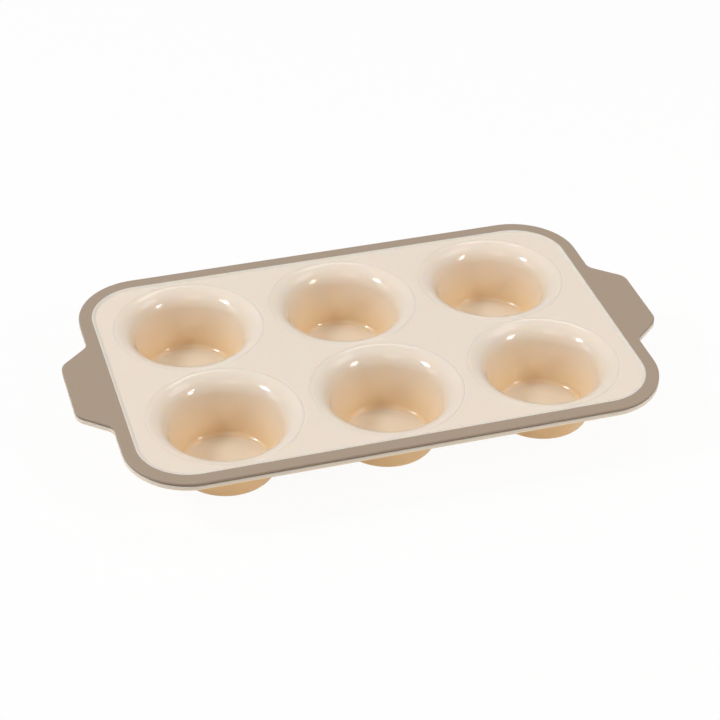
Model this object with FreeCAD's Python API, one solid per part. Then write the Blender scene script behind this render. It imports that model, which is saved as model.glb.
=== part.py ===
import FreeCAD
import Part
import math
import os

# Silicone muffin pan with six cups: a cream tray and a taupe frame bonded on its rim, sizes in mm.
# The origin is on the table under the middle of the pan. X is the long way and Z is up.

# Pan as a whole
PAN_HEIGHT = 35.8
RIM_LENGTH = 298.0
RIM_WIDTH = 190.8
RIM_CORNER_RADIUS = 36.4
RIM_BAND = 7.2
RIM_THICKNESS = 4.8
FRAME_THICKNESS = 2.1

# Handle tabs at both ends, measured to their sharp corners
HANDLE_REACH = 17.2
HANDLE_ROOT_WIDTH = 75.0
HANDLE_TIP_WIDTH = 45.3
HANDLE_ROOT_RADIUS = 7.0
HANDLE_TIP_RADIUS = 9.0

# Deck between the cups
DECK_RECESS = 0.8
LIP_WIDTH = 0.8
RAMP_WIDTH = 1.6
DECK_THICKNESS = 2.0
RIM_LAND = 10.0

# Cup layout
CUP_COLUMNS = 3
CUP_ROWS = 2
CUP_PITCH_X = 90.0
CUP_PITCH_Y = 85.6

# Cup section from the deck down: funnel, wide rounded shoulder, wall and floor
FUNNEL_RADIUS = 40.6
FUNNEL_ANGLE = 22.5
MOUTH_RADIUS = 32.2
WALL_DRAFT = 13.0
WALL_THICKNESS = 1.8
FLOOR_THICKNESS = 2.0
SHOULDER_ROUND = 12.0
OUTER_SHOULDER_ROUND = 5.0
FLOOR_ROUND = 3.2
BASE_ROUND = 2.8
# A round of a cup's section is drawn in straight spans up to this long, as the pan repeats it six times
ROUND_SPAN = 5.5

# Levels and shared sizes that follow from the driving ones
RIM_BOTTOM = PAN_HEIGHT - RIM_THICKNESS
FRAME_BOTTOM = PAN_HEIGHT - FRAME_THICKNESS
DECK_LEVEL = PAN_HEIGHT - DECK_RECESS
DECK_UNDERSIDE = DECK_LEVEL - DECK_THICKNESS
FUNNEL_SLOPE = math.tan(math.radians(FUNNEL_ANGLE))
WALL_SLOPE = math.tan(math.radians(WALL_DRAFT))
UP = FreeCAD.Vector(0, 0, 1)
# Points nearer than this are the same point
TOUCH = 0.001


def tangent_arc(before, corner, after, radius):
    """Start, end and centre of the arc of one radius that rounds a corner between two neighbours."""
    back = (before - corner).normalize()
    ahead = (after - corner).normalize()
    half_angle = back.getAngle(ahead) / 2
    reach = radius / math.tan(half_angle)
    centre = corner + (back + ahead).normalize() * (radius / math.sin(half_angle))
    return corner + back * reach, corner + ahead * reach, centre


def on_arc(start, end, centre, share):
    """Point of an arc of less than half a turn, at a share of the way from its start to its end."""
    first = start - centre
    last = end - centre
    sweep = first.getAngle(last)
    return centre + (first * math.sin((1 - share) * sweep) + last * math.sin(share * sweep)) / math.sin(sweep)


def outline(corners, level):
    """Closed wire at one level through (x, y, radius) corners, each rounded by a true arc."""
    points = [FreeCAD.Vector(x, y, level) for x, y, _ in corners]
    arcs = []
    for index, (_, _, radius) in enumerate(corners):
        following = points[(index + 1) % len(points)]
        arcs.append(tangent_arc(points[index - 1], points[index], following, radius))
    edges = []
    for index, (start, end, centre) in enumerate(arcs):
        edges.append(Part.Arc(start, on_arc(start, end, centre, 0.5), end).toShape())
        next_start = arcs[(index + 1) % len(arcs)][0]
        if end.distanceToPoint(next_start) > TOUCH:
            edges.append(Part.LineSegment(end, next_start).toShape())
    return Part.Wire(edges)


def deck_corners(inset):
    """Corners of the rounded rectangle that runs inside the taupe band, drawn in by an inset."""
    half_length = RIM_LENGTH / 2 - RIM_BAND - inset
    half_width = RIM_WIDTH / 2 - RIM_BAND - inset
    radius = RIM_CORNER_RADIUS - RIM_BAND - inset
    return [(sx * half_length, sy * half_width, radius) for sx, sy in ((1, 1), (-1, 1), (-1, -1), (1, -1))]


def pan_corners():
    """Corners of the whole pan seen from above: the rim with a handle tab at both ends."""
    rim_x = RIM_LENGTH / 2
    tip_x = rim_x + HANDLE_REACH
    quarter = [
        (rim_x, RIM_WIDTH / 2, RIM_CORNER_RADIUS),
        (rim_x, HANDLE_ROOT_WIDTH / 2, HANDLE_ROOT_RADIUS),
        (tip_x, HANDLE_TIP_WIDTH / 2, HANDLE_TIP_RADIUS),
    ]
    right = quarter + [(x, -y, radius) for x, y, radius in reversed(quarter)]
    left = [(-x, -y, radius) for x, y, radius in right]
    return right + left


def plate(corners, low, high):
    """Flat plate with a rounded outline between two levels."""
    return Part.Face(outline(corners, low)).extrude(UP * (high - low))


def cup_places():
    """Places of the cup axes, row by row."""
    for row in range(CUP_ROWS):
        for column in range(CUP_COLUMNS):
            across = (column - (CUP_COLUMNS - 1) / 2) * CUP_PITCH_X
            along = (row - (CUP_ROWS - 1) / 2) * CUP_PITCH_Y
            yield FreeCAD.Vector(across, along, 0)


def turned(corners):
    """Solid of revolution about a cup's axis from the (radius, height, round) corners of its half section."""
    points = [FreeCAD.Vector(radius, 0, height) for radius, height, _ in corners]
    section = []
    for index, (_, _, radius) in enumerate(corners):
        if radius == 0:
            section.append(points[index])
            continue
        following = points[(index + 1) % len(points)]
        start, end, centre = tangent_arc(points[index - 1], points[index], following, radius)
        spans = math.ceil(radius * (start - centre).getAngle(end - centre) / ROUND_SPAN)
        section += [on_arc(start, end, centre, span / spans) for span in range(spans + 1)]
    return Part.Face(Part.makePolygon(section, True)).revolve(FreeCAD.Vector(0, 0, 0), UP, 360)


def shoulder_level():
    """Height at which the funnel and the wall of a cup would meet without the rounded shoulder."""
    return DECK_LEVEL - (FUNNEL_RADIUS - MOUTH_RADIUS) * FUNNEL_SLOPE


def cup_cavity():
    """Space inside one cup, with its funnel carried up to the rim so that it cuts clear of the deck."""
    floor_radius = MOUTH_RADIUS - (shoulder_level() - FLOOR_THICKNESS) * WALL_SLOPE
    top_radius = FUNNEL_RADIUS + DECK_RECESS / FUNNEL_SLOPE
    return turned([
        (0, FLOOR_THICKNESS, 0),
        (floor_radius, FLOOR_THICKNESS, FLOOR_ROUND),
        (MOUTH_RADIUS, shoulder_level(), SHOULDER_ROUND),
        (top_radius, PAN_HEIGHT, 0),
        (0, PAN_HEIGHT, 0),
    ])


def cup_body():
    """Outside of one cup filled solid up to the deck: the section of the cavity moved out by the wall."""
    wall_shift = WALL_THICKNESS / math.cos(math.radians(WALL_DRAFT))
    funnel_shift = WALL_THICKNESS / math.cos(math.radians(FUNNEL_ANGLE))
    # The outer wall stands one wall shift outside the inner one, and the outer funnel lies one funnel shift
    # below the inner one. They meet at this depth below the meeting point of the inner ones.
    drop = (funnel_shift - wall_shift * FUNNEL_SLOPE) / (1 - WALL_SLOPE * FUNNEL_SLOPE)
    shoulder_z = shoulder_level() - drop
    shoulder_r = MOUTH_RADIUS + wall_shift - drop * WALL_SLOPE
    base_radius = shoulder_r - shoulder_z * WALL_SLOPE
    top_radius = shoulder_r + (DECK_UNDERSIDE - shoulder_z) / FUNNEL_SLOPE
    return turned([
        (0, 0, 0),
        (base_radius, 0, BASE_ROUND),
        (shoulder_r, shoulder_z, OUTER_SHOULDER_ROUND),
        (top_radius, DECK_UNDERSIDE, 0),
        (0, DECK_UNDERSIDE, 0),
    ])


def cup_tray():
    """Cream moulding: rim layer, lip, recessed deck and six cups."""
    tray = plate(pan_corners(), RIM_BOTTOM, FRAME_BOTTOM)
    tray = tray.fuse(plate(deck_corners(0), FRAME_BOTTOM, PAN_HEIGHT))
    recess = Part.makeLoft([
        outline(deck_corners(LIP_WIDTH + RAMP_WIDTH), DECK_LEVEL),
        outline(deck_corners(LIP_WIDTH), PAN_HEIGHT),
    ], True, True)
    hollow = plate(deck_corners(RIM_LAND - RIM_BAND), RIM_BOTTOM, DECK_UNDERSIDE)
    tray = tray.cut([recess, hollow])
    tray = tray.fuse([cup_body().translated(place) for place in cup_places()])
    tray = tray.cut([cup_cavity().translated(place) for place in cup_places()])
    return tray.removeSplitter()


def rim_frame():
    """Taupe moulding: the flat band round the deck with a handle tab at both ends."""
    frame = plate(pan_corners(), FRAME_BOTTOM, PAN_HEIGHT)
    return frame.cut(plate(deck_corners(0), FRAME_BOTTOM, PAN_HEIGHT))


def main():
    """Builds both mouldings and writes one file for each."""
    os.makedirs("parts", exist_ok=True)
    for name, build in (("cup_tray", cup_tray), ("rim_frame", rim_frame)):
        shape = build()
        print(name, "valid", shape.isValid(), "solids", len(shape.Solids), "volume", round(shape.Volume))
        shape.exportStep(os.path.join("parts", name + ".step"))


main()
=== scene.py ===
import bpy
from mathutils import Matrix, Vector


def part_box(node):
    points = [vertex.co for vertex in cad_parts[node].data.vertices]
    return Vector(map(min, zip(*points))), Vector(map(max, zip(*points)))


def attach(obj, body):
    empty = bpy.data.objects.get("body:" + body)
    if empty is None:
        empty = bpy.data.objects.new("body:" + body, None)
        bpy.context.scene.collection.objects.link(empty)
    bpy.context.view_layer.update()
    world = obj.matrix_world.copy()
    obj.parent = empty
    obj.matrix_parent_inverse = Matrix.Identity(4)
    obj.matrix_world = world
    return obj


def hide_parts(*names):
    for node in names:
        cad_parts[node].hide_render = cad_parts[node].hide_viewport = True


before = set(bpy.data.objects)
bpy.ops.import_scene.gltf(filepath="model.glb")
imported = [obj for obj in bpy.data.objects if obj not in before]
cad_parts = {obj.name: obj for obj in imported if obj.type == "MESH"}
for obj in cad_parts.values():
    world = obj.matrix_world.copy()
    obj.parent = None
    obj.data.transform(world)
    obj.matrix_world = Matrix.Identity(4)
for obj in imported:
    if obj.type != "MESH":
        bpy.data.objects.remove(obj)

"""Looks of a six-cup silicone muffin pan: a glossy cream tray with a satin taupe band bonded on its rim.

Lengths are in millimetres and become metres where a mesh is made. Only the lamps are given in metres. The
origin is on the table below the middle of the pan, X runs from handle to handle, Y from the front row to
the back row, and Z is up. Angles are in degrees.
"""

import logging
import math
from collections.abc import Iterable, Iterator, Sequence
from dataclasses import dataclass
from enum import Enum

import bmesh
import bpy
from mathutils import Matrix, Vector

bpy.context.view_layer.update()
MM = 0.001
# Edges that turn by more than this stay sharp.
SHARP_ANGLE = 40.0

Point = tuple[float, float]
Triple = tuple[float, float, float]
Colour = tuple[float, float, float, float]
Ring = list[bmesh.types.BMVert]
Socket = bpy.types.NodeSocket

log = logging.getLogger("muffin_pan")


def to_linear(code: str) -> Colour:
    """Turns an sRGB hex colour into the linear colour that shaders use.

    Args:
        code: The colour as a hash and six hex digits.

    Returns:
        Red, green, blue and an alpha of one, in linear light.
    """
    channels = (int(code[place:place + 2], 16) / 255 for place in (1, 3, 5))
    red, green, blue = (v / 12.92 if v <= 0.04045 else ((v + 0.055) / 1.055) ** 2.4 for v in channels)
    return red, green, blue, 1.0


class ArcStep(Enum):
    """How finely an arc is drawn: the largest turn between two of its points."""

    OUTLINE = 4.0
    LIP = 8.0
    CUP_INSIDE = 9.0
    CUP_OUTSIDE = 12.0
    RIM_EDGE = 15.0


@dataclass(frozen=True)
class Corner:
    """A corner of a drawn line, and the radius of the arc that rounds it."""

    u: float
    v: float
    radius: float = 0.0


@dataclass(frozen=True)
class Station:
    """A place on a closed outline, with the unit direction that leads out of the outline there."""

    x: float
    y: float
    out_x: float
    out_y: float

    def moved(self, inset: float) -> Point:
        """Gives the point at an inset from the outline; a negative inset lies outside."""
        return self.x - self.out_x * inset, self.y - self.out_y * inset


def tangent_arc(
    before: Corner, corner: Corner, after: Corner, step: ArcStep,
) -> list[tuple[Vector, Vector]]:
    """Rounds a corner with an arc that is tangent to both of its sides.

    Args:
        before: The corner before.
        corner: The corner to round.
        after: The corner after.
        step: How finely the arc is drawn.

    Returns:
        Points of the arc, each with its unit direction away from the arc's centre.
    """
    tip = Vector((corner.u, corner.v))
    back = (Vector((before.u, before.v)) - tip).normalized()
    ahead = (Vector((after.u, after.v)) - tip).normalized()
    half_angle = back.angle(ahead) / 2
    reach = corner.radius / math.tan(half_angle)
    centre = tip + (back + ahead).normalized() * (corner.radius / math.sin(half_angle))
    first = (tip + back * reach - centre).normalized()
    last = (tip + ahead * reach - centre).normalized()
    sweep = first.angle(last)
    count = max(1, math.ceil(math.degrees(sweep) / step.value))
    spokes = []
    for index in range(count + 1):
        share = index / count
        spoke = first * math.sin((1 - share) * sweep) + last * math.sin(share * sweep)
        spokes.append(spoke.normalized())
    return [(centre + spoke * corner.radius, spoke) for spoke in spokes]


def rounded_path(corners: Sequence[Corner], step: ArcStep) -> list[Point]:
    """Draws an open line through corners and rounds those that have a radius.

    Args:
        corners: The corners in order. The first and the last one are its ends.
        step: How finely the arcs are drawn.

    Returns:
        The points of the line.
    """
    path = [(corners[0].u, corners[0].v)]
    for before, corner, after in zip(corners, corners[1:], corners[2:]):
        if corner.radius > 0:
            path += [(point.x, point.y) for point, _ in tangent_arc(before, corner, after, step)]
        else:
            path.append((corner.u, corner.v))
    path.append((corners[-1].u, corners[-1].v))
    return path


def closed_outline(corners: Sequence[Corner]) -> list[Station]:
    """Walks round a closed outline whose corners are all rounded, anticlockwise.

    Args:
        corners: The corners in order.

    Returns:
        The stations on the arcs. The straight sides run from one arc to the next.
    """
    stations = []
    for index, corner in enumerate(corners):
        before = corners[index - 1]
        after = corners[(index + 1) % len(corners)]
        turn = (corner.u - before.u) * (after.v - corner.v) - (corner.v - before.v) * (after.u - corner.u)
        out = 1 if turn > 0 else -1
        for point, spoke in tangent_arc(before, corner, after, ArcStep.OUTLINE):
            stations.append(Station(point.x, point.y, spoke.x * out, spoke.y * out))
    return stations


def neighbours(ring: Ring) -> Iterator[tuple[bmesh.types.BMVert, bmesh.types.BMVert]]:
    """Pairs each vertex of a closed ring with the one that follows it."""
    return zip(ring, ring[1:] + ring[:1])


class Mould:
    """A closed mesh that is laid up ring by ring, as a moulding is drawn section by section."""

    def __init__(self) -> None:
        """Starts an empty mesh."""
        self.mesh = bmesh.new()

    def ring(self, points: Iterable[Triple]) -> Ring:
        """Adds one closed ring of vertices, given in millimetres."""
        return [self.mesh.verts.new(Vector(point) * MM) for point in points]

    def skin(self, rings: Sequence[Ring]) -> None:
        """Joins each ring to the next one with a band of faces."""
        for lower, upper in zip(rings, rings[1:]):
            for (start, end), (next_start, next_end) in zip(neighbours(lower), neighbours(upper)):
                self.mesh.faces.new((start, end, next_end, next_start))

    def follow(self, outline: Sequence[Station], section: Sequence[Point]) -> list[Ring]:
        """Carries a section round an outline.

        Args:
            outline: The outline to follow.
            section: Points of the section, as an inset from the outline and a level.

        Returns:
            One ring for each point of the section, joined into a band.
        """
        rings = []
        for inset, level in section:
            rings.append(self.ring((*station.moved(inset), level) for station in outline))
        self.skin(rings)
        return rings

    def turn(self, centre: Point, section: Sequence[Point], sides: int) -> list[Ring]:
        """Turns a section about an upright axis.

        Args:
            centre: Where the axis stands.
            section: Points of the section, as a radius and a level.
            sides: How many vertices each ring has.

        Returns:
            One ring for each point of the section, joined into a band.
        """
        angles = [math.tau * side / sides for side in range(sides)]
        rings = []
        for radius, level in section:
            rings.append(self.ring(
                (centre[0] + radius * math.cos(angle), centre[1] + radius * math.sin(angle), level)
                for angle in angles
            ))
        self.skin(rings)
        return rings

    def cap(self, ring: Ring) -> None:
        """Closes a ring with a fan of faces round its middle."""
        hub = self.mesh.verts.new(sum((vertex.co for vertex in ring), Vector()) / len(ring))
        for start, end in neighbours(ring):
            self.mesh.faces.new((start, end, hub))

    def fill(self, rings: Sequence[Ring]) -> None:
        """Fills the flat area between an outer ring and the rings inside it."""
        edges = []
        for ring in rings:
            for pair in neighbours(ring):
                edges.append(self.mesh.edges.get(pair) or self.mesh.edges.new(pair))
        bmesh.ops.triangle_fill(self.mesh, use_beauty=True, use_dissolve=False, edges=edges)

    def finish(self, name: str, material: bpy.types.Material) -> bpy.types.Object:
        """Turns the laid-up mesh into an object with smooth faces and one material.

        Args:
            name: The name of the piece.
            material: Its material.

        Returns:
            The object, linked to the scene.
        """
        bmesh.ops.recalc_face_normals(self.mesh, faces=self.mesh.faces[:])
        data = bpy.data.meshes.new(name)
        self.mesh.to_mesh(data)
        self.mesh.free()
        data.shade_smooth()
        data.set_sharp_from_angle(angle=math.radians(SHARP_ANGLE))
        data.materials.append(material)
        piece = bpy.data.objects.new(name, data)
        bpy.context.scene.collection.objects.link(piece)
        return piece


def add_node(
    tree: bpy.types.NodeTree, kind: str, links: dict[str | int, Socket] | None = None, **settings: object
) -> bpy.types.Node:
    """Adds a node to a tree.

    Args:
        tree: The node tree.
        kind: The node's type name.
        links: For each input of the node by name or number, the socket that feeds it.
        settings: Values for the node's own properties, or for its inputs by their names in lower case.

    Returns:
        The new node.
    """
    node = tree.nodes.new(kind)
    sockets = {socket.name.lower().replace(" ", "_"): socket for socket in reversed(node.inputs)}
    for name, value in settings.items():
        if name in sockets:
            sockets[name].default_value = value
        else:
            setattr(node, name, value)
    for place, source in (links or {}).items():
        tree.links.new(source, node.inputs[place])
    return node


class Ease(Enum):
    """How a blend of two colours starts and ends."""

    SOFT = "SMOOTHSTEP"
    EVEN = "LINEAR"


def blend(
    tree: bpy.types.NodeTree, value: Socket, span: Point,
    low: Colour | Socket, high: Colour | Socket, ease: Ease = Ease.SOFT,
) -> Socket:
    """Blends from one colour to another over a span of a value.

    Args:
        tree: The material's node tree.
        value: The socket with the value.
        span: Where the blend starts and where it ends.
        low: The colour, or the socket with it, below the span.
        high: The colour, or the socket with it, above the span.
        ease: How the blend starts and ends.

    Returns:
        The socket with the blended colour.
    """
    share = add_node(
        tree, "ShaderNodeMapRange", {"Value": value},
        from_min=span[0], from_max=span[1], interpolation_type=ease.value,
    )
    mixed = add_node(tree, "ShaderNodeMix", {"Factor": share.outputs["Result"]}, data_type="RGBA")
    colours = [socket for socket in mixed.inputs if socket.type == "RGBA"]
    for socket, colour in zip(colours, (low, high)):
        if isinstance(colour, tuple):
            socket.default_value = colour
        else:
            tree.links.new(colour, socket)
    return next(socket for socket in mixed.outputs if socket.type == "RGBA")


class Gloss(Enum):
    """How the face of the mould leaves the silicone, as a roughness."""

    POLISHED = 0.13
    SATIN = 0.42


@dataclass(frozen=True)
class PaintedDepthShading:
    """Painted light and shade: warmer colours painted where light would reach the skin through the rubber
    and pass between the walls, as colours and levels.

    The colours stand in for light and shade: the steep walls of a cup pass the light on to each other, its
    floor gets some straight from above, and the underside shows next to nothing but light that came
    through. The way a place faces is the height
    of its unit normal: 1 faces straight up and -1 straight down.
    """

    wall: str
    floor: str
    underside: str
    deep_level: float
    shallow_level: float
    floor_facing: Point = (0.9, 1.0)
    underside_facing: Point = (-0.2, -0.05)

    def add_to(self, tree: bpy.types.NodeTree, where: bpy.types.Node, colour: str) -> Socket:
        """Adds the nodes that paint light and shade: a colour for each place from its level and the way it
        faces.

        Args:
            tree: The material's node tree.
            where: The texture coordinate node.
            colour: The colour at the top of the pan.

        Returns:
            The socket with the colour.
        """
        level = add_node(tree, "ShaderNodeSeparateXYZ", {"Vector": where.outputs["Object"]}).outputs["Z"]
        facing = add_node(tree, "ShaderNodeSeparateXYZ", {"Vector": where.outputs["Normal"]}).outputs["Z"]
        # Painted light and shade: wall and floor colours by facing, blended into the top colour by level,
        # and an amber underside.
        deep = blend(tree, facing, self.floor_facing, to_linear(self.wall), to_linear(self.floor))
        levels = (self.deep_level * MM, self.shallow_level * MM)
        inside = blend(tree, level, levels, deep, to_linear(colour), Ease.EVEN)
        return blend(tree, facing, self.underside_facing, to_linear(self.underside), inside)


@dataclass(frozen=True)
class PaintedPartingShade:
    """Painted shade: a dark line along the parting of the two mouldings, where the pressed edge turns under
    and shade falls.
    """

    shade: str
    line_level: float
    clear_level: float

    def add_to(self, tree: bpy.types.NodeTree, where: bpy.types.Node, colour: str) -> Socket:
        """Adds the nodes that paint shade on the skin towards the parting line.

        Args:
            tree: The material's node tree.
            where: The texture coordinate node.
            colour: The colour away from the line.

        Returns:
            The socket with the colour.
        """
        level = add_node(tree, "ShaderNodeSeparateXYZ", {"Vector": where.outputs["Object"]}).outputs["Z"]
        span = (self.line_level * MM, self.clear_level * MM)
        # Painted shade: dark at the parting line, clearing towards the top.
        return blend(tree, level, span, to_linear(self.shade), to_linear(colour))


@dataclass(frozen=True)
class MouldedSilicone:
    """Silicone rubber, pressed and cured in a steel mould.

    Its body lets a little light in and spreads it, so thin walls glow warm, and its skin copies the face of
    the mould: a polished one gives small sharp highlights, a blasted one a soft sheen.
    """

    name: str
    colour: str
    glow: Triple
    glow_share: float
    glow_depth: float
    gloss: Gloss
    ripple_size: float
    ripple_height: float
    grain_size: float
    grain_height: float
    # Painted light and shade in the base colour.
    painted_shading: PaintedDepthShading | PaintedPartingShade
    ripple_detail: float = 1.0
    grain_detail: float = 2.0
    roughness_range: Point = (0.85, 1.15)
    ior: float = 1.42

    def build(self) -> bpy.types.Material:
        """Makes the material.

        Returns:
            A material with one shader, a long soft ripple and a fine grain in its skin.
        """
        material = bpy.data.materials.new(self.name)
        material.use_nodes = True
        tree = material.node_tree
        tree.nodes.clear()
        where = add_node(tree, "ShaderNodeTexCoord")
        place = where.outputs["Object"]
        # Cured rubber shrinks a little unevenly, which bends long reflections.
        ripple = add_node(
            tree, "ShaderNodeTexNoise", {"Vector": place},
            scale=1 / (self.ripple_size * MM), detail=self.ripple_detail,
        )
        ripple_bump = add_node(
            tree, "ShaderNodeBump", {"Height": ripple.outputs["Fac"]},
            strength=1.0, distance=self.ripple_height * MM,
        )
        # The steel leaves its grain in the skin. The real grain is finer, and is drawn this coarse to show.
        grain = add_node(
            tree, "ShaderNodeTexNoise", {"Vector": place},
            scale=1 / (self.grain_size * MM), detail=self.grain_detail,
        )
        bump = add_node(
            tree, "ShaderNodeBump",
            {"Height": grain.outputs["Fac"], "Normal": ripple_bump.outputs["Normal"]},
            strength=1.0, distance=self.grain_height * MM,
        )
        # Handling leaves the skin a touch duller in soft patches.
        sharpest, dullest = self.roughness_range
        roughness = add_node(
            tree, "ShaderNodeMapRange", {"Value": ripple.outputs["Fac"]},
            to_min=self.gloss.value * sharpest, to_max=self.gloss.value * dullest,
        )
        # The base colour carries painted light and shade.
        shader = add_node(
            tree, "ShaderNodeBsdfPrincipled",
            {
                "Base Color": self.painted_shading.add_to(tree, where, self.colour),
                "Normal": bump.outputs["Normal"],
                "Roughness": roughness.outputs["Result"],
            },
            base_color=to_linear(self.colour), ior=self.ior, subsurface_weight=self.glow_share,
            subsurface_radius=self.glow, subsurface_scale=self.glow_depth * MM,
        )
        add_node(tree, "ShaderNodeOutputMaterial", {"Surface": shader.outputs["BSDF"]})
        return material


# Unpigmented silicone with a little cream: the light that comes out of a thin wall is amber.
CREAM_SILICONE = MouldedSilicone(
    name="cream_silicone_polished_mould",
    colour="#ebe0d1",
    glow=(1.0, 0.62, 0.36),
    glow_share=0.5,
    glow_depth=3.0,
    gloss=Gloss.POLISHED,
    ripple_size=28.0,
    ripple_height=0.05,
    grain_size=0.7,
    grain_height=0.003,
    # The wall, floor and underside colours are painted light and shade, standing in for light passed
    # through and between the walls.
    painted_shading=PaintedDepthShading(
        wall="#e6cba2", floor="#ebd9c2", underside="#f2d3a2", deep_level=4.0, shallow_level=34.0,
    ),
)

# Silicone filled with taupe pigment: it lets next to no light in.
TAUPE_SILICONE = MouldedSilicone(
    name="taupe_silicone_blasted_mould",
    colour="#a5927f",
    glow=(1.0, 0.8, 0.65),
    glow_share=0.1,
    glow_depth=0.8,
    gloss=Gloss.SATIN,
    ripple_size=22.0,
    ripple_height=0.04,
    grain_size=0.5,
    grain_height=0.012,
    # Painted shade at the parting line.
    painted_shading=PaintedPartingShade(shade="#6f5b49", line_level=33.7, clear_level=35.3),
)


@dataclass(frozen=True)
class PanPlan:
    """Sizes that both mouldings share, seen from above, and the outlines that follow from them."""

    length_over_handles: float
    width: float
    top: float
    frame_bottom: float
    rim_length: float = 298.0
    corner_radius: float = 36.4
    band: float = 7.2
    handle_root_width: float = 75.0
    handle_tip_width: float = 45.3
    handle_root_radius: float = 7.0
    handle_tip_radius: float = 9.0

    def pan_outline(self) -> list[Station]:
        """Gives the outline of the whole pan: the rim with a handle tab at both ends."""
        rim_x = self.rim_length / 2
        quarter = [
            Corner(self.length_over_handles / 2, self.handle_tip_width / 2, self.handle_tip_radius),
            Corner(rim_x, self.handle_root_width / 2, self.handle_root_radius),
            Corner(rim_x, self.width / 2, self.corner_radius),
        ]
        back = quarter + [Corner(-c.u, c.v, c.radius) for c in reversed(quarter)]
        front = [Corner(-c.u, -c.v, c.radius) for c in back]
        return closed_outline(back + front)

    def deck_outline(self) -> list[Station]:
        """Gives the rounded rectangle along the inner edge of the taupe band."""
        half_length = self.rim_length / 2 - self.band
        half_width = self.width / 2 - self.band
        radius = self.corner_radius - self.band
        signs = ((1, 1), (-1, 1), (-1, -1), (1, -1))
        return closed_outline([Corner(sx * half_length, sy * half_width, radius) for sx, sy in signs])


@dataclass(frozen=True)
class CupSection:
    """Half section of one cup, inside and outside, as radii from its axis and levels above the table.

    A hairline groove, the crease, runs round the cup where it meets the deck, with a small ledge inside it.
    Then come the funnel, a wide rounded shoulder, the drafted wall and the floor.
    """

    deck: float
    deck_thickness: float
    floor_thickness: float = 2.0
    wall_thickness: float = 1.8
    deck_edge_radius: float = 42.77
    crease_outer: float = 42.65
    crease_radius: float = 42.2
    crease_depth: float = 0.24
    crease_inner: float = 41.65
    ledge_drop: float = 0.08
    funnel_radius: float = 40.6
    funnel_angle: float = 22.5
    mouth_radius: float = 32.2
    wall_draft: float = 13.0
    crease_round: float = 0.35
    funnel_round: float = 5.5
    shoulder_round: float = 12.0
    floor_round: float = 4.0
    base_round: float = 4.0
    hub_radius: float = 6.0
    root_round: float = 1.2
    sides: int = 144

    @property
    def wall_slope(self) -> float:
        """Gives how far the wall leans outwards for each millimetre of height."""
        return math.tan(math.radians(self.wall_draft))

    @property
    def funnel_slope(self) -> float:
        """Gives how far the funnel rises for each millimetre outwards."""
        return math.tan(math.radians(self.funnel_angle))

    @property
    def shoulder_level(self) -> float:
        """Gives the level at which the funnel and the wall would meet in a sharp corner."""
        return self.deck - self.ledge_drop - (self.funnel_radius - self.mouth_radius) * self.funnel_slope

    def inside(self) -> list[Point]:
        """Gives the section from the deck down to the middle of the floor."""
        ledge = self.deck - self.ledge_drop
        floor_radius = self.mouth_radius - (self.shoulder_level - self.floor_thickness) * self.wall_slope
        return rounded_path([
            Corner(self.deck_edge_radius, self.deck),
            Corner(self.crease_outer, self.deck, self.crease_round),
            Corner(self.crease_radius, self.deck - self.crease_depth, self.crease_round),
            Corner(self.crease_inner, ledge, self.crease_round),
            Corner(self.funnel_radius, ledge, self.funnel_round),
            Corner(self.mouth_radius, self.shoulder_level, self.shoulder_round),
            Corner(floor_radius, self.floor_thickness, self.floor_round),
            Corner(self.hub_radius, self.floor_thickness),
        ], ArcStep.CUP_INSIDE)

    def outside(self) -> list[Point]:
        """Gives the section from the middle of the base up to the underside of the deck."""
        wall_shift = self.wall_thickness / math.cos(math.radians(self.wall_draft))
        funnel_shift = self.wall_thickness / math.cos(math.radians(self.funnel_angle))
        # The outer wall and funnel run beside the inner ones, and meet this far below where those meet.
        drop = (funnel_shift - wall_shift * self.funnel_slope) / (1 - self.wall_slope * self.funnel_slope)
        shoulder_z = self.shoulder_level - drop
        shoulder_r = self.mouth_radius + wall_shift - drop * self.wall_slope
        underside = self.deck - self.deck_thickness
        root_radius = shoulder_r + (underside - shoulder_z) / self.funnel_slope
        return rounded_path([
            Corner(self.hub_radius, 0.0),
            Corner(shoulder_r - shoulder_z * self.wall_slope, 0.0, self.base_round),
            Corner(shoulder_r, shoulder_z, self.shoulder_round - self.wall_thickness),
            Corner(root_radius, underside, self.root_round),
            Corner(root_radius + self.root_round, underside),
        ], ArcStep.CUP_OUTSIDE)


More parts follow.
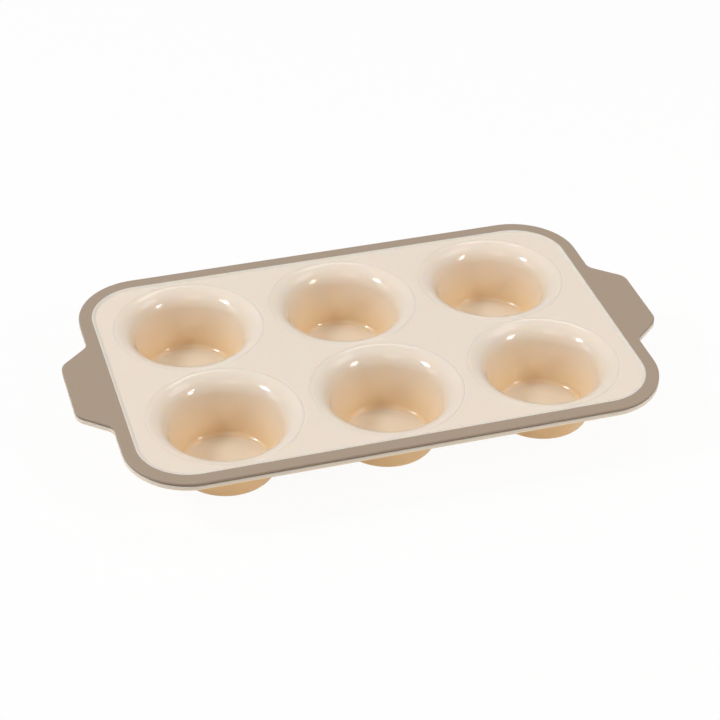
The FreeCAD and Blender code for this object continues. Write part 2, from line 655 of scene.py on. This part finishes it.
@dataclass(frozen=True)
class CupTray:
    """The cream moulding: six cups hanging from a deck, with a lip and a rim layer round it.

    The margins are how far a section runs on along the flat past its last round.
    """

    plan: PanPlan
    deck_recess: float = 0.8
    deck_thickness: float = 2.0
    rim_thickness: float = 4.8
    lip_width: float = 0.75
    ramp_width: float = 1.4
    land: float = 10.0
    lip_round: float = 0.3
    ramp_round: float = 1.2
    joint_round: float = 0.12
    rim_round: float = 0.6
    parting_round: float = 0.3
    deck_margin: float = 0.35
    edge_margin: float = 1.2
    columns: int = 3
    rows: int = 2
    pitch_x: float = 90.0
    pitch_y: float = 85.6

    @property
    def bottom(self) -> float:
        """Gives the level of the rim layer's underside."""
        return self.plan.top - self.rim_thickness

    @property
    def cup(self) -> CupSection:
        """Gives the section of a cup, hung from the deck."""
        return CupSection(deck=self.plan.top - self.deck_recess, deck_thickness=self.deck_thickness)

    def cup_centres(self) -> list[Point]:
        """Gives the place of each cup's axis, row by row."""
        xs = [(column - (self.columns - 1) / 2) * self.pitch_x for column in range(self.columns)]
        ys = [(row - (self.rows - 1) / 2) * self.pitch_y for row in range(self.rows)]
        return [(x, y) for y in ys for x in xs]

    def rim_section(self) -> list[Point]:
        """Gives the outer edge of the rim layer, from its underside up to the parting line."""
        return rounded_path([
            Corner(self.edge_margin, self.bottom),
            Corner(0.0, self.bottom, self.rim_round),
            Corner(0.0, self.plan.frame_bottom, self.parting_round),
            Corner(self.edge_margin, self.plan.frame_bottom),
        ], ArcStep.RIM_EDGE)

    def lip_section(self) -> list[Point]:
        """Gives the lip and the ramp inside the taupe band, down to the deck."""
        foot = self.lip_width + self.ramp_width
        return rounded_path([
            Corner(0.0, self.plan.frame_bottom),
            Corner(0.0, self.plan.top, self.joint_round),
            Corner(self.lip_width, self.plan.top, self.lip_round),
            Corner(foot, self.cup.deck, self.ramp_round),
            Corner(foot + self.deck_margin, self.cup.deck),
        ], ArcStep.LIP)

    def hollow_section(self) -> list[Point]:
        """Gives the step from the rim layer's underside up to the underside of the deck."""
        inset = self.land - self.plan.band
        return [(inset, self.bottom), (inset, self.cup.deck - self.deck_thickness)]

    def build(self, material: bpy.types.Material) -> bpy.types.Object:
        """Lays up the tray as one closed skin and puts it in the place of its plain solid.

        Args:
            material: The cream silicone.

        Returns:
            The tray.
        """
        mould = Mould()
        rim = mould.follow(self.plan.pan_outline(), self.rim_section())
        lip = mould.follow(self.plan.deck_outline(), self.lip_section())
        hollow = mould.follow(self.plan.deck_outline(), self.hollow_section())
        mouths = []
        roots = []
        for centre in self.cup_centres():
            inside = mould.turn(centre, self.cup.inside(), self.cup.sides)
            outside = mould.turn(centre, self.cup.outside(), self.cup.sides)
            mould.cap(inside[-1])
            mould.cap(outside[0])
            mouths.append(inside[0])
            roots.append(outside[-1])
        mould.fill([rim[-1], lip[0]])
        mould.fill([lip[-1], *mouths])
        mould.fill([hollow[-1], *roots])
        mould.fill([rim[0], hollow[0]])
        tray = mould.finish("cup_tray_skin", material)
        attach(tray, "root")
        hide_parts("cup_tray")
        return tray


@dataclass(frozen=True)
class RimFrame:
    """The taupe moulding: a flat band round the deck with a handle tab at both ends.

    The margins are how far a section runs on along the flat past its last round.
    """

    plan: PanPlan
    top_round: float = 0.4
    parting_round: float = 0.6
    joint_round: float = 0.15
    edge_margin: float = 1.2
    joint_margin: float = 0.5

    def outer_section(self) -> list[Point]:
        """Gives the outer edge of the band, from the parting line up to its flat top."""
        return rounded_path([
            Corner(self.edge_margin, self.plan.frame_bottom),
            Corner(0.0, self.plan.frame_bottom, self.parting_round),
            Corner(0.0, self.plan.top, self.top_round),
            Corner(self.edge_margin, self.plan.top),
        ], ArcStep.RIM_EDGE)

    def inner_section(self) -> list[Point]:
        """Gives the inner edge of the band, from its flat top down along the cream lip."""
        return rounded_path([
            Corner(-self.joint_margin, self.plan.top),
            Corner(0.0, self.plan.top, self.joint_round),
            Corner(0.0, self.plan.frame_bottom),
        ], ArcStep.RIM_EDGE)

    def build(self, material: bpy.types.Material) -> bpy.types.Object:
        """Lays up the band and its handle tabs and puts them in the place of the plain solid.

        Args:
            material: The taupe silicone.

        Returns:
            The band.
        """
        mould = Mould()
        outer = mould.follow(self.plan.pan_outline(), self.outer_section())
        inner = mould.follow(self.plan.deck_outline(), self.inner_section())
        mould.fill([outer[-1], inner[0]])
        mould.fill([outer[0], inner[-1]])
        band = mould.finish("rim_frame_skin", material)
        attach(band, "root")
        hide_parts("rim_frame")
        return band


@dataclass(frozen=True)
class SoftLamp:
    """A rectangular studio lamp that points at the middle of the pan, in metres and watts."""

    name: str
    azimuth: float
    elevation: float
    width: float
    height: float
    power: float
    distance: float = 1.5
    tint: str = "#ffffff"

    def build(self, target: Vector) -> None:
        """Hangs the lamp at its bearing from the target.

        Args:
            target: The point that the lamp faces, in metres.
        """
        data = bpy.data.lights.new(self.name, "AREA")
        data.shape = "RECTANGLE"
        data.size = self.width
        data.size_y = self.height
        data.energy = self.power
        data.color = to_linear(self.tint)[:3]
        lamp = bpy.data.objects.new(self.name, data)
        around = math.radians(self.azimuth)
        up = math.radians(self.elevation)
        direction = Vector((math.cos(up) * math.cos(around), math.cos(up) * math.sin(around), math.sin(up)))
        lamp.location = target + direction * self.distance
        lamp.rotation_euler = direction.to_track_quat("Z", "Y").to_euler()
        bpy.context.scene.collection.objects.link(lamp)


@dataclass(frozen=True)
class Studio:
    """A white table and surround, seven soft lamps, and the camera of the photograph."""

    camera_place: Triple = (-276.03, -870.89, 687.24)
    camera_aim: Triple = (-6.97, -14.65, 35.0)
    camera_roll: float = 1.04
    lens: float = 100.8
    sensor_width: float = 36.0
    floor_size: float = 6000.0
    floor_colour: str = "#f6f5f3"
    floor_white_share: float = 0.94
    floor_glow_share: float = 0.36
    sky_colour: str = "#ffd2a0"
    sky_strength: float = 0.08
    lamps: tuple[SoftLamp, ...] = (
        SoftLamp(
            "key_left", azimuth=174.0, elevation=44.0, width=0.45, height=0.5, power=32.5,
            distance=2.67, tint="#f1f7ff",
        ),
        SoftLamp("front_right", azimuth=-42.0, elevation=31.0, width=0.23, height=0.44, power=7.1),
        SoftLamp("back_right", azimuth=62.0, elevation=62.0, width=0.6, height=0.3, power=2.6),
        SoftLamp("side_left", azimuth=165.0, elevation=25.0, width=0.6, height=0.6, power=3.0),
        SoftLamp("back_left", azimuth=122.0, elevation=50.0, width=1.2, height=1.2, power=2.6),
        SoftLamp("side_right", azimuth=2.0, elevation=55.0, width=0.6, height=0.6, power=3.2),
        SoftLamp("front_left", azimuth=240.0, elevation=55.0, width=0.6, height=0.6, power=2.5),
    )

    def add_camera(self) -> None:
        """Puts the camera where the photograph was taken from."""
        data = bpy.data.cameras.new("photo_camera")
        data.lens = self.lens
        data.sensor_width = self.sensor_width
        camera = bpy.data.objects.new("photo_camera", data)
        place = Vector(self.camera_place) * MM
        aim = Vector(self.camera_aim) * MM
        turn = (place - aim).to_track_quat("Z", "Y").to_matrix().to_4x4()
        roll = Matrix.Rotation(math.radians(self.camera_roll), 4, "Z")
        camera.matrix_world = Matrix.Translation(place) @ turn @ roll
        bpy.context.scene.collection.objects.link(camera)
        bpy.context.scene.camera = camera

    def add_floor(self) -> None:
        """Lays the white table top, lit softly from below, which the camera sees nearly white.

        It keeps the pan's shadow, and its own light reaches the underside and the outsides of the cups.
        """
        mould = Mould()
        half = self.floor_size / 2
        signs = ((-1, -1), (1, -1), (1, 1), (-1, 1))
        corners = mould.ring((sx * half, sy * half, 0.0) for sx, sy in signs)
        mould.mesh.faces.new(corners)
        material = bpy.data.materials.new("white_laminate_table")
        material.use_nodes = True
        tree = material.node_tree
        tree.nodes.clear()
        seen = add_node(tree, "ShaderNodeLightPath")
        share = add_node(
            tree, "ShaderNodeMapRange", {"Value": seen.outputs["Is Camera Ray"]},
            to_min=self.floor_glow_share, to_max=self.floor_white_share,
        )
        lit = add_node(tree, "ShaderNodeBsdfDiffuse", color=to_linear(self.floor_colour))
        white = add_node(tree, "ShaderNodeEmission", strength=1.0)
        mixed = add_node(
            tree, "ShaderNodeMixShader",
            {0: share.outputs["Result"], 1: lit.outputs["BSDF"], 2: white.outputs["Emission"]},
        )
        add_node(tree, "ShaderNodeOutputMaterial", {"Surface": mixed.outputs["Shader"]})
        floor = mould.finish("table_top", material)

    def add_sky(self) -> None:
        """Surrounds the table with an even light, which the camera and the gloss see as white."""
        world = bpy.data.worlds.new("white_surround")
        world.use_nodes = True
        tree = world.node_tree
        tree.nodes.clear()
        seen = add_node(tree, "ShaderNodeLightPath")
        even = add_node(
            tree, "ShaderNodeBackground", color=to_linear(self.sky_colour), strength=self.sky_strength,
        )
        white = add_node(tree, "ShaderNodeBackground", color=to_linear("#ffffff"), strength=1.0)
        mirrored = add_node(
            tree, "ShaderNodeMath",
            {0: seen.outputs["Is Camera Ray"], 1: seen.outputs["Is Glossy Ray"]}, operation="MAXIMUM",
        )
        mixed = add_node(
            tree, "ShaderNodeMixShader",
            {0: mirrored.outputs["Value"], 1: even.outputs["Background"], 2: white.outputs["Background"]},
        )
        add_node(tree, "ShaderNodeOutputWorld", {"Surface": mixed.outputs["Shader"]})
        bpy.context.scene.world = world

    def build(self) -> None:
        """Sets up the table, the surround, the lamps and the camera."""
        self.add_floor()
        self.add_sky()
        for lamp in self.lamps:
            lamp.build(Vector(self.camera_aim) * MM)
        self.add_camera()
        bpy.context.scene.view_settings.view_transform = "Standard"


def plan_from_frame() -> PanPlan:
    """Takes the pan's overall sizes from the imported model.

    Returns:
        The plan in millimetres.
    """
    low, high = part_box("rim_frame")
    size = (high - low) / MM
    return PanPlan(length_over_handles=size.x, width=size.y, top=high.z / MM, frame_bottom=low.z / MM)


def main() -> None:
    """Builds the pan's two mouldings and the studio in order."""
    logging.basicConfig(level=logging.INFO, format="%(name)s: %(message)s")
    plan = plan_from_frame()
    tray = CupTray(plan).build(CREAM_SILICONE.build())
    log.info("%s: %d faces", tray.name, len(tray.data.polygons))
    band = RimFrame(plan).build(TAUPE_SILICONE.build())
    log.info("%s: %d faces", band.name, len(band.data.polygons))
    studio = Studio()
    studio.build()
    log.info("studio: %d lamps", len(studio.lamps))


if __name__ == "__main__":
    main()
